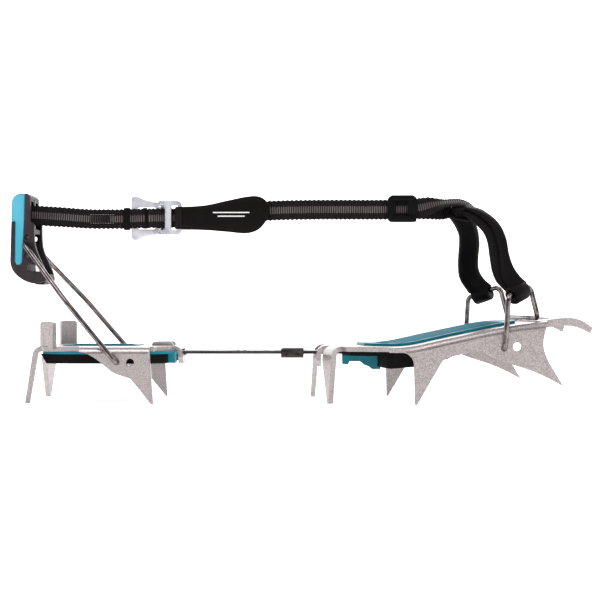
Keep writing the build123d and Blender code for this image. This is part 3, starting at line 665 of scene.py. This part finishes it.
def make_pad():
    """Flat cushion with a fuller middle, a thin rounded rim and a thicker fold at its narrow end."""
    columns, rows = 90, 26
    points, faces = [], []
    for side in (-1, 1):
        for c in range(columns + 1):
            part = c / columns
            x = PAD_LOW_X + (PAD_HIGH_X - PAD_LOW_X) * (1 - (1 - part) ** 1.6)
            z_top, z_low = interpolate(PAD_TOP_EDGE, x), interpolate(PAD_LOW_EDGE, x)
            end = min(1.0, max(0.0, PAD_HIGH_X - x) / 5.0)
            for r in range(rows + 1):
                v = 2 * r / rows - 1
                v = math.copysign(1 - max(0.0, 1 - abs(v)) ** 1.3, v)
                z = (z_top + z_low) / 2 + v * (z_top - z_low) / 2
                roll = root(1 - abs(v) ** 7) * root(1 - (1 - end) ** 4)
                welt = 0.16 * math.exp(-((abs(v) - 0.86) / 0.03) ** 2)
                puff = PAD_PUFF * (1 - v * v) * min(1, (x - PAD_LOW_X) / PUFF_FROM_FOLD) * end ** 0.5
                fold = 1.9 * max(0.0, 1 - (x - PAD_LOW_X) / 9) ** 1.5
                lip = root(1 - max(0.0, 1 - (x - PAD_LOW_X) / 0.9) ** 2)
                depth = (PAD_RIM + puff - welt + fold) * roll * lip if side < 0 else roll
                points.append(at(x, PAD_Y + side * depth, z))
    stride = rows + 1
    sheet = (columns + 1) * stride
    for c in range(columns):
        for r in range(rows):
            a = c * stride + r
            faces.append((a, a + stride, a + stride + 1, a + 1))
            faces.append((sheet + a, sheet + a + 1, sheet + a + stride + 1, sheet + a + stride))
    faces += rim_faces(columns, rows, sheet)
    piece = mesh_object("strap_cushion", points, faces, PAD)
    finish_piece(piece, "front_strap", ("strap_pad",))


def make_pad_tab():
    """Strip of fabric folded over the pad's narrow end, with two rows of stitches."""
    path = [at(-66, -2.4, 114.7), at(-71.4, -3.4, 114.6), at(-73.4, -4.7, 114.5), at(-75.6, -4.9, 114.5),
            at(-76.6, -3.4, 114.5), at(-76.2, -1.4, 114.5), at(-73.6, -0.75, 114.5), at(-66, -1.1, 114.6),
            at(-58, -1.5, 114.7)]
    samples = curve_through(path, 0.7 * MM)
    piece = swept("cushion_tab", samples, [UP] * len(samples), flat_outline(14.0 * MM, 1.1 * MM), TAB)
    finish_piece(piece, "front_strap")
    rows = [(at(-70.8, -4.95, z), at(-65, -3.75, z)) for z in (109.3, 119.9)]
    stitches("cushion_stitching", rows, "front_strap", DARK_THREAD, 1.4 * MM, 0.7 * MM, 0.2 * MM)


def make_pad_lines():
    """Two plain light lines printed on the pad."""
    steps, half_height = 24, 0.38
    section = ((-half_height, -0.04), (half_height, -0.04), (half_height, 0.12), (-half_height, 0.12))
    points, faces = [], []
    for z, x_low, x_high in ((117.9, -53, -30), (115.6, -50, -33)):
        base = len(points)
        for step in range(steps + 1):
            x = x_low + (x_high - x_low) * step / steps
            top, bottom = interpolate(PAD_TOP_EDGE, x), interpolate(PAD_LOW_EDGE, x)
            v = (z - (top + bottom) / 2) / ((top - bottom) / 2)
            surface = PAD_Y - (PAD_RIM + PAD_PUFF * (1 - v * v) * min(1, (x + 73) / PUFF_FROM_FOLD))
            points += [at(x, surface + dy, z + dz) for dz, dy in section]
        for step in range(steps):
            for k in range(4):
                a, b = base + 4 * step + k, base + 4 * step + (k + 1) % 4
                faces.append((a, b, b + 4, a + 4))
        faces.append((base + 3, base + 2, base + 1, base))
        faces.append(tuple(base + 4 * steps + k for k in range(4)))
    piece = mesh_object("pad_lines", points, faces, PRINT, smooth=False)
    finish_piece(piece, "front_strap")


make_pad()
make_pad_tab()
make_pad_lines()


# ---- front strap, end loop, slider -----------------------------------------------------------------
FRONT_PATH = [at(-48, 1.9, 117.5), at(-17, 1.7, 119.4), at(10, 1.6, 120.0), at(50, 1.7, 120.0),
              at(66, 2.2, 120.2), at(76, 1.2, 120.9), at(84, 0.0, 122.4), at(92, -0.8, 123.6),
              at(98, -0.8, 124.3), at(103, -0.4, 124.2), at(107.4, 0.2, 122.8), at(111, 0.4, 120.0),
              at(112.6, 0.4, 117.0), at(111.0, 0.4, 115.3), at(107, 0.6, 115.0), at(101, 1.2, 116.2),
              at(95, 2.4, 118.6), at(88, 3.4, 120.0), at(76, 4.1, 120.4), at(66, 4.4, 120.2),
              at(58, 4.2, 120.0)]
LEAN = math.radians(66)


def eased(value):
    """Smooth step from 0 to 1."""
    value = min(1.0, max(0.0, value))
    return value * value * (3 - 2 * value)


def front_tilt(t):
    """Upright to the slider, leaning back through the loop, upright again behind."""
    leans_from, leans_over, rights_from, rights_over = 0.555, 0.10, 0.79, 0.085
    angle = LEAN * (eased((t - leans_from) / leans_over) - eased((t - rights_from) / rights_over))
    return Vector((0, math.sin(angle), math.cos(angle)))


def rounded_bar(name, low_corner, high_corner, radius, material, body):
    """Block with fully rounded edges."""
    shape = bmesh.new()
    bmesh.ops.create_cube(shape, size=1.0)
    size = [high_corner[k] - low_corner[k] for k in range(3)]
    centre = [(high_corner[k] + low_corner[k]) / 2 for k in range(3)]
    for vertex in shape.verts:
        vertex.co = Vector([vertex.co[k] * size[k] * MM for k in range(3)])
    bmesh.ops.bevel(shape, geom=shape.edges[:], offset=radius * MM, segments=4, profile=0.5, affect="EDGES")
    mesh = bpy.data.meshes.new(name)
    shape.to_mesh(mesh)
    shape.free()
    for vertex in mesh.vertices:
        vertex.co = at(*centre) + vertex.co
    for polygon in mesh.polygons:
        polygon.use_smooth = True
    mesh.materials.append(material)
    piece = bpy.data.objects.new(name, mesh)
    bpy.context.scene.collection.objects.link(piece)
    return finish_piece(piece, body)


webbing("front_strap_web", FRONT_PATH, "front_strap", ("front_webbing", "strap_end_loop"), width=12.4 * MM,
        tilt=front_tilt, plain_back=True)
# Black bar in the gap between webbing layers: painted shade, standing in for the dark of the gap.
rounded_bar("gap_shade_bar", (-97.3, -1.9, 107.9), (-94.6, -0.7, 121.1), 0.5, BAND, "heel_strap")
rounded_bar("slider_lower_bar", (60.2, -3.6, 111.9), (75.0, -0.6, 116.0), 1.1, SLIDER, "strap_slider")
rounded_bar("slider_upper_bar", (58.8, -2.6, 125.2), (73.6, -0.6, 128.9), 0.9, SLIDER, "strap_slider")


# ---- bands ---------------------------------------------------------------------------------------
# Each band runs from the end loop down to its wire, between two edge lines.
NEAR_LEFT = [(96.4, -3, 120.0), (99.6, -6, 118.4), (103.5, -8.5, 116.9), (110.2, -13, 110.7),
             (114.7, -18, 105.1), (116.6, -23, 98.7), (117.2, -28, 90.4), (118.1, -32.5, 81.2),
             (120.5, -35.5, 74.1), (125.8, -38.4, 68.2)]
NEAR_RIGHT = [(110.8, -3, 119.6), (114.8, -6, 118.0), (118.0, -8.5, 115.9), (123.0, -13, 111.3),
              (126.4, -18, 105.6), (128.3, -23, 98.7), (128.9, -28, 90.9), (130.9, -32.5, 82.9),
              (134.4, -35.0, 77.1), (138.8, -33.6, 73.0)]
FAR_LEFT = [(95.2, 3, 119.8), (95.4, 6, 118.0), (97.0, 8.5, 115.6), (100.6, 13, 111.1), (103.5, 18, 105.6),
            (104.5, 23, 98.9), (104.5, 28, 91.6), (104.8, 32.5, 84.1), (106.4, 35.5, 76.4),
            (112.8, 38.4, 67.6)]
FAR_RIGHT = [(110.8, 3, 119.6), (111.6, 6, 117.2), (112.6, 8.5, 114.4), (114.6, 13, 110.1),
             (116.6, 18, 105.0), (117.6, 23, 98.9), (117.5, 28, 91.5), (118.2, 32.5, 84.1),
             (121.5, 35.0, 77.7), (127.0, 33.6, 72.0)]
# The near band's outer layer covers its toe side from this edge on. Its inner layer ends just past the edge.
SLIT = [(99, -3.0, 120.2), (103.0, -6.0, 118.8), (107.5, -9.5, 117.4), (114.9, -14, 112.4),
        (119.6, -19, 106.4), (121.6, -24.5, 98.6), (122.8, -29, 90.4), (122.8, -33, 82.0),
        (124.0, -36, 75.0), (127.2, -38.0, 69.6)]
SLIT_BACK = [(x + 2.2, y + 0.4, z) for x, y, z in SLIT]
BAND_THICKNESS = 2.4 * MM
# The far side of the front section lies this much further back for each millimetre across.
SKEW_X = 0.16


def along_line(line, t):
    """Point at the part t of an evenly sampled line."""
    place = t * (len(line) - 1)
    index = min(int(place), len(line) - 2)
    return line[index].lerp(line[index + 1], place - index)


def band_layer(left, right, offset):
    """Strip between two edge lines, pushed by offset out of its face, with rounded edges."""
    steps, columns, reach = 70, 10, 0.02
    size = 2 * (columns + 1)
    left_line = curve_through([at(*p) for p in left], 0.3 * MM)
    right_line = curve_through([at(*p) for p in right], 0.3 * MM)
    points, faces = [], []
    for step in range(steps + 1):
        t = step / steps
        ahead, behind = min(1, t + reach), max(0, t - reach)
        a, b = along_line(left_line, t), along_line(right_line, t)
        along = ((along_line(left_line, ahead) + along_line(right_line, ahead))
                 - (along_line(left_line, behind) + along_line(right_line, behind))).normalized()
        out = (b - a).normalized().cross(along).normalized()
        if out.y > 0:
            out = -out
        for side in (1, -1):
            for c in range(columns + 1):
                part = (1 - 2 * c / columns) * side
                roll = root(1 - abs(part) ** 5)
                crown = 0.35 * MM * (1 - part * part)
                v = offset + side * (0.5 * BAND_THICKNESS * roll + 0.04 * MM) + crown
                points.append(a.lerp(b, 0.5 + 0.5 * part) + out * v)
    for step in range(steps):
        for k in range(size):
            m = (k + 1) % size
            faces.append((step * size + k, step * size + m, (step + 1) * size + m, (step + 1) * size + k))
    faces.append(tuple(range(size))[::-1])
    faces.append(tuple(steps * size + k for k in range(size)))
    return points, faces


def collar(start, end):
    """Rubber wrapped round a length of wire, its outside hanging below the wire."""
    inner, outer, sag, rounding, sides = 1.75 * MM, 5.6 * MM, 0.9 * MM, 1.2 * MM, 28
    axis = (end - start).normalized()
    side = axis.cross(UP).normalized()
    up = side.cross(axis)
    total = (end - start).length
    nick = rounding * 0.3
    rings = [(0, inner), (0, outer - rounding), (nick, outer - nick), (rounding, outer),
             (total - rounding, outer), (total - nick, outer - nick), (total, outer - rounding),
             (total, inner)]
    points, faces = [], []
    for place, radius in rings:
        drop = Vector((0, 0, -sag if radius > inner else 0))
        for k in range(sides):
            angle = 2 * math.pi * k / sides
            points.append(start + drop + axis * place + side * (radius * math.cos(angle))
                          + up * (radius * math.sin(angle)))
    for r in range(len(rings)):
        after = (r + 1) % len(rings)
        for k in range(sides):
            m = (k + 1) % sides
            faces.append((r * sides + k, r * sides + m, after * sides + m, after * sides + k))
    return points, faces


def joined(name, parts, material):
    """One object from several (points, faces) pairs."""
    points, faces = [], []
    for part_points, part_faces in parts:
        base = len(points)
        points += part_points
        faces += [tuple(base + index for index in face) for face in part_faces]
    return mesh_object(name, points, faces, material)


def make_band(name, layers, wire, replaced):
    """Layers of a band with its collar round the wire, running from the toe bail up to the strap."""
    start, end = at(*wire[0]), at(*wire[1])
    centre = (start + end) / 2
    along = (end - start).normalized()
    parts = [band_layer(*layer) for layer in layers]
    parts.append(collar(centre - along * 7.4 * MM, centre + along * 4.8 * MM))
    piece = joined(name, parts, BAND)
    fix_normals(piece)
    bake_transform(piece)
    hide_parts(replaced)


def make_bands():
    near_layers = [(SLIT, NEAR_RIGHT, 1.1 * MM), (NEAR_LEFT, SLIT_BACK, -1.2 * MM)]
    far_layers = [(FAR_LEFT, FAR_RIGHT, 1.3 * MM), (FAR_LEFT, FAR_RIGHT, -1.4 * MM)]
    near_wire = ((126.7, -43.7, 64.8), (141.4, -30, 72.0))
    far_wire = [(x + 2 * SKEW_X * y, -y, z) for x, y, z in near_wire]
    make_band("near_band_strap", near_layers, near_wire, "near_band")
    make_band("far_band_strap", far_layers, far_wire, "far_band")


def make_crown():
    """Top of the bands inside the end loop."""
    spine = [at(105.4, -6.4, 118.0), at(103.6, -3, 119.6), at(103.2, 0, 120.2), at(103.2, 3, 119.7),
             at(103.4, 6.4, 117.6)]
    samples = curve_through(spine, 0.6 * MM)
    acrosses = [Vector((1, 0, -0.02))] * len(samples)
    piece = swept("band_crown", samples, acrosses, flat_outline(15.0 * MM, 4.6 * MM), BAND)
    finish_piece(piece, "front_strap")


make_bands()
make_crown()


# ---- skin over the dished plate ---------------------------------------------------------------
def make_lid_skin():
    """Smooth skin over the dished top of the front plate's cover, meeting the rim around the dish."""
    x_low, x_high, half, dome = 48, 137, 25.5 * MM, 0.5 * MM
    count, across = 60, 16
    cover = NODES["front_antiball_frame"]
    place = cover.matrix_world
    tree = BVHTree.FromPolygons([place @ v.co for v in cover.data.vertices],
                                [tuple(p.vertices) for p in cover.data.polygons])
    start_z = high("front_antiball_frame").z + 0.01
    rows = []
    for c in range(count + 1):
        x = at(x_low + (x_high - x_low) * c / count, 0, 0).x
        hit = tree.ray_cast(Vector((x + SKEW_X * half, -half, start_z)), -UP)[0]
        if hit:
            rows.append((x, hit.z))
    points, faces = [], []
    for index, (x, z) in enumerate(rows):
        ends = min(1.0, 6 * min(index, len(rows) - 1 - index) / len(rows))
        for r in range(across + 1):
            part = 2 * r / across - 1
            rise = dome * (1 - part ** 4) * ends
            points.append(Vector((x - SKEW_X * half * part, half * part, z - 0.05 * MM + rise)))
    stride = across + 1
    total = len(points)
    points += [p - UP * 0.5 * MM for p in points]
    for c in range(len(rows) - 1):
        for r in range(across):
            a = c * stride + r
            faces.append((a, a + stride, a + stride + 1, a + 1))
            faces.append((total + a, total + a + 1, total + a + stride + 1, total + a + stride))
    faces += rim_faces(len(rows) - 1, across, total)
    piece = mesh_object("front_lid_skin", points, faces, LID_TEAL)
    fix_normals(piece)
    finish_piece(piece, "front_frame")


make_lid_skin()


# ---- floor, light, camera -------------------------------------------------------------------
def add_floor():
    """Pale floor that curves up far behind the object."""
    mesh = bpy.data.meshes.new("floor")
    reach, curve_at, curve_radius, wall_top = 30.0, 2.4, 1.2, 5.0
    profile = [(-reach, 0.0), (curve_at, 0.0)]
    for step in range(1, 13):
        angle = step / 12 * math.pi / 2
        profile.append((curve_at + curve_radius * math.sin(angle), curve_radius * (1 - math.cos(angle))))
    profile.append((curve_at + curve_radius, wall_top))
    points = [(side * reach, y, z - 0.2 * MM) for y, z in profile for side in (-1, 1)]
    faces = [(2 * i, 2 * i + 1, 2 * i + 3, 2 * i + 2) for i in range(len(profile) - 1)]
    mesh.from_pydata(points, [], faces)
    for polygon in mesh.polygons:
        polygon.use_smooth = True
    floor = bpy.data.objects.new("floor", mesh)
    bpy.context.scene.collection.objects.link(floor)
    g = Graph("pale_floor")
    far = g.add("ShaderNodeVectorMath", {0: g.place}, output="Value", operation="LENGTH")
    glow = g.ramp(far, 0.8, 1.3, 0.5, 1.2)
    g.set(color=(0.75, 0.75, 0.75, 1), rough=0.9, specular=0.0, emission_color=(1, 1, 1, 1), emission=glow)
    mesh.materials.append(g.material)


def add_light(name, place, size, power):
    """Area light that points at the object's middle."""
    target = Vector((0, 0, 0.06))
    data = bpy.data.lights.new(name, "AREA")
    data.shape = "RECTANGLE"
    data.size, data.size_y = size
    data.energy = power
    light = bpy.data.objects.new(name, data)
    light.location = place
    light.rotation_euler = (target - Vector(place)).to_track_quat("-Z", "Y").to_euler()
    bpy.context.scene.collection.objects.link(light)


def add_world():
    """Studio that is white above and behind the object and dark on the near side, as polished metal needs."""
    world = bpy.data.worlds.new("studio")
    world.use_nodes = True
    nodes, links = world.node_tree.nodes, world.node_tree.links
    split = nodes.new("ShaderNodeSeparateXYZ")
    links.new(nodes.new("ShaderNodeTexCoord").outputs["Generated"], split.inputs[0])

    def rise(axis, low_at, high_at):
        node = nodes.new("ShaderNodeMapRange")
        node.inputs["From Min"].default_value = low_at
        node.inputs["From Max"].default_value = high_at
        links.new(split.outputs[axis], node.inputs["Value"])
        return node.outputs[0]

    brighter = nodes.new("ShaderNodeMath")
    brighter.operation = "MAXIMUM"
    links.new(rise("Y", -0.75, 0.25), brighter.inputs[0])
    links.new(rise("Z", 0.25, 0.8), brighter.inputs[1])
    ramp = nodes.new("ShaderNodeValToRGB")
    links.new(brighter.outputs[0], ramp.inputs[0])
    dark, white = ramp.color_ramp.elements
    dark.color = (0.10, 0.10, 0.105, 1)
    white.color = (1.0, 1.0, 1.0, 1)
    links.new(ramp.outputs[0], nodes["Background"].inputs["Color"])
    nodes["Background"].inputs["Strength"].default_value = 0.62
    bpy.context.scene.world = world


def add_camera():
    data = bpy.data.cameras.new("camera")
    data.sensor_width = 36.0
    data.lens = 78.0
    data.clip_start = 0.01
    camera = bpy.data.objects.new("camera", data)
    camera.location = (ORIGIN_X + 12.46 * MM, -0.820, 0.0585)
    camera.rotation_euler = (math.radians(90.31), 0.0, math.radians(0.75))
    bpy.context.scene.collection.objects.link(camera)
    bpy.context.scene.camera = camera


add_floor()
add_world()
add_light("key", (-0.5, -0.9, 1.3), (1.0, 0.7), 9.0)
add_light("fill", (0.9, -0.8, 0.7), (0.5, 0.8), 3.0)
add_light("rear", (0.1, 1.2, 1.0), (1.4, 0.6), 6.0)
add_camera()
bpy.context.scene.view_settings.view_transform = "Standard"
